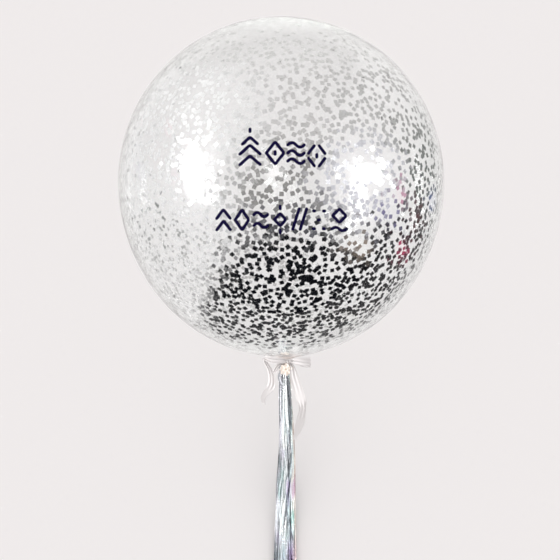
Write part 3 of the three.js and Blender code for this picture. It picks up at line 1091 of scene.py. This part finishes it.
# Matt pale paint. The outside of the film and the tinsel mirror it half and half with the room. The
# flakes, seen through the film, mirror the room beyond it alone, so it lets that light through.
ROOM_SHARE_OUTSIDE = 0.5
floor_paint, tree, output = new_material("matt_pale_paint")
path = add(tree, "ShaderNodeLightPath").outputs
through_film = add(tree, "ShaderNodeMath", {0: path["Transmission Depth"]}, operation="GREATER_THAN")
share_of_room = add(tree, "ShaderNodeMath", {
    0: through_film.outputs[0],
    1: ROOM_SHARE_OUTSIDE,
}, operation="MAXIMUM")
room_light = add(tree, "ShaderNodeMath", {
    0: mirrored(tree),
    1: share_of_room.outputs[0],
}, operation="MULTIPLY")
paint = add(tree, "ShaderNodeBsdfPrincipled", {
    "Base Color": linear("f3f1f0"),
    "Roughness": 0.9,
    "Specular IOR Level": 0.1,
})
beyond = add(tree, "ShaderNodeBsdfTransparent")
floor_mix = add(tree, "ShaderNodeMixShader", {
    "Fac": room_light.outputs[0],
    1: paint.outputs["BSDF"],
    2: beyond.outputs["BSDF"],
})
tree.links.new(floor_mix.outputs["Shader"], output.inputs["Surface"])
floor.data.materials.append(floor_paint)

# The room, seen only in mirroring surfaces. A patch is placed by the slope of the film that mirrors
# it: x to the right, y to the crown, from 0 on the top of the balloon to 1 at its edge. It has a
# middle, a half size, a softness and a colour, and lies over the ones before it. One with a negative
# softness lies outside its edge.
SKY = (0.97, 0.95, 0.955, 1.0)
ROOM_WALL = "dedbda"
CLUTTER = 36.0
ROOM = [
    ((-0.80, 0.15), (0.62, 0.95), 0.45, (1.03, 1.02, 1.02)),
    ((-0.80, -0.55), (0.40, 0.45), 0.50, (0.98, 0.96, 0.96)),
    ((0.66, 0.42), (0.40, 0.36), 0.50, (0.62, 0.61, 0.60)),
    ((0.00, 0.82), (0.80, 0.20), 0.50, (0.84, 0.83, 0.81)),
    ((0.05, -0.08), (0.34, 0.26), 0.50, (0.34, 0.33, 0.32)),
    ((0.95, 0.00), (0.30, 0.50), 0.50, (0.18, 0.20, 0.185)),
    ((0.72, -0.35), (0.28, 0.30), 0.40, (0.02, 0.02, 0.022)),
    ((0.08, -0.23), (0.30, 0.07), 0.60, (0.15, 0.15, 0.17)),
    ((-0.07, -0.62), (0.34, 0.34), 0.10, (0.003, 0.0035, 0.006)),
    ((0.12, -0.86), (0.66, 0.58), 0.10, (0.003, 0.0035, 0.006)),
    ((0.00, 0.00), (0.94, 0.94), -0.04, (0.90, 0.88, 0.87)),
    ((0.47, 0.00), (0.24, 0.24), 0.40, (0.80, 0.79, 0.85)),
    ((0.06, 0.93), (0.30, 0.04), 0.80, (1.3, 1.33, 1.28)),
    ((-0.43, 0.46), (0.24, 0.18), 0.60, (1.16, 1.15, 1.14)),
    ((-0.48, 0.12), (0.09, 0.17), 0.70, (2.0, 2.0, 2.0)),
    ((-0.505, 0.05), (0.045, 0.11), 0.70, (20.0, 20.0, 20.0)),
    ((0.47, 0.04), (0.11, 0.065), 0.70, (2.4, 2.4, 2.4)),
    ((0.50, 0.04), (0.06, 0.04), 0.70, (20.0, 20.0, 20.0)),
    ((-0.03, 0.026), (0.05, 0.03), 0.60, (3.0, 3.0, 3.0)),
    ((0.70, -0.05), (0.025, 0.05), 0.60, (0.85, 0.40, 0.55)),
    ((0.80, -0.15), (0.035, 0.07), 0.60, (0.12, 0.04, 0.045)),
    ((0.74, -0.33), (0.03, 0.05), 0.60, (0.60, 0.07, 0.17)),
    ((0.90, -0.02), (0.03, 0.05), 0.60, (0.07, 0.11, 0.28)),
    ((0.64, -0.165), (0.06, 0.05), 0.60, (0.24, 0.22, 0.40)),
    ((0.46, -0.35), (0.06, 0.06), 0.60, (0.38, 0.31, 0.26)),
]
world = bpy.data.worlds.new("studio")
bpy.context.scene.world = world
world.use_nodes = True
world.cycles.sampling_method = "NONE"
tree = world.node_tree
tree.nodes.clear()
output = add(tree, "ShaderNodeOutputWorld")
way = add(tree, "ShaderNodeTexCoord").outputs["Generated"]
raised = add(tree, "ShaderNodeVectorMath", {0: way, 1: (0, 0, 1)}, operation="ADD")
slope = add(tree, "ShaderNodeVectorMath", {0: raised.outputs["Vector"]}, operation="NORMALIZE")
flat = add(tree, "ShaderNodeVectorMath", {
    0: slope.outputs["Vector"],
    1: (1, 1, 0),
}, operation="MULTIPLY")
room = linear(ROOM_WALL)
for centre, size, soft, colour in ROOM:
    from_centre = add(tree, "ShaderNodeVectorMath", {
        0: flat.outputs["Vector"],
        1: (*centre, 0),
    }, operation="SUBTRACT")
    sized = add(tree, "ShaderNodeVectorMath", {
        0: from_centre.outputs["Vector"],
        1: (*size, 1),
    }, operation="DIVIDE")
    away = add(tree, "ShaderNodeVectorMath", {0: sized.outputs["Vector"]}, operation="LENGTH")
    share = add(tree, "ShaderNodeMapRange", {
        "Value": away.outputs["Value"],
        "From Min": 1 + soft,
        "From Max": 1 - soft,
    }, interpolation_type="SMOOTHSTEP")
    room = add(tree, "ShaderNodeMixRGB", {
        "Fac": share.outputs["Result"],
        "Color1": room,
        "Color2": (*colour, 1.0),
    }).outputs["Color"]
clutter = add(tree, "ShaderNodeTexNoise", {
    "Vector": flat.outputs["Vector"],
    "Scale": CLUTTER,
    "Detail": 2.0,
})
varied = add(tree, "ShaderNodeMapRange", {
    "Value": clutter.outputs["Fac"],
    "From Min": 0.35,
    "From Max": 0.65,
    "To Min": 0.79,
    "To Max": 1.24,
})
lively = add(tree, "ShaderNodeVectorMath", {
    0: room,
    "Scale": varied.outputs["Result"],
}, operation="SCALE")
light = add(tree, "ShaderNodeMixRGB", {
    "Fac": mirrored(tree),
    "Color1": SKY,
    "Color2": lively.outputs["Vector"],
})
sky = add(tree, "ShaderNodeBackground", {"Color": light.outputs["Color"], "Strength": 1.0})
tree.links.new(sky.outputs["Background"], output.inputs["Surface"])


def soft_box(name, way, distance, width, height, radiance):
    """A lamp panel that faces the middle of the balloon."""
    lamp = bpy.data.lights.new(name, "AREA")
    lamp.shape = "RECTANGLE"
    lamp.size = width
    lamp.size_y = height
    lamp.energy = radiance * math.pi * width * height
    panel = bpy.data.objects.new(name, lamp)
    bpy.context.scene.collection.objects.link(panel)
    way = Vector(way).normalized()
    panel.location = Vector((0, 0, AXIS_HEIGHT)) + way * distance
    panel.rotation_euler = way.to_track_quat("Z", "Y").to_euler()
    panel.visible_camera = False
    return panel


def shine_on(panel, pieces):
    """Lets a lamp panel light these pieces alone."""
    lit = bpy.data.collections.new("lit_by_" + panel.name)
    for piece in pieces:
        lit.objects.link(piece)
    panel.light_linking.receiver_collection = lit


# A soft box to the left of the neck end models the ribbon and the rosette.
key = soft_box("key_box", (-0.85, -0.3, 0.4), 3.2, 1.8, 1.8, 7.0)
shine_on(key, [ribbon, rosette])

# A tall one beyond the neck end shines in the tail.
tail_box = soft_box("tail_box", (0, -1, 0.25), 2.5, 4.6, 7.0, 1.5)
shine_on(tail_box, [tinsel])

CAMERA_DISTANCE = 2.0
VIEW_SIDE = 1.0415
VIEW_MIDDLE = (-0.0023, -0.178)
SENSOR = 36.0
camera_data = bpy.data.cameras.new("camera")
camera_data.sensor_width = SENSOR
camera_data.lens = SENSOR * CAMERA_DISTANCE / VIEW_SIDE
camera = bpy.data.objects.new("camera", camera_data)
bpy.context.scene.collection.objects.link(camera)
camera.location = (*VIEW_MIDDLE, AXIS_HEIGHT + CAMERA_DISTANCE)
bpy.context.scene.camera = camera
bpy.context.scene.view_settings.view_transform = "Standard"
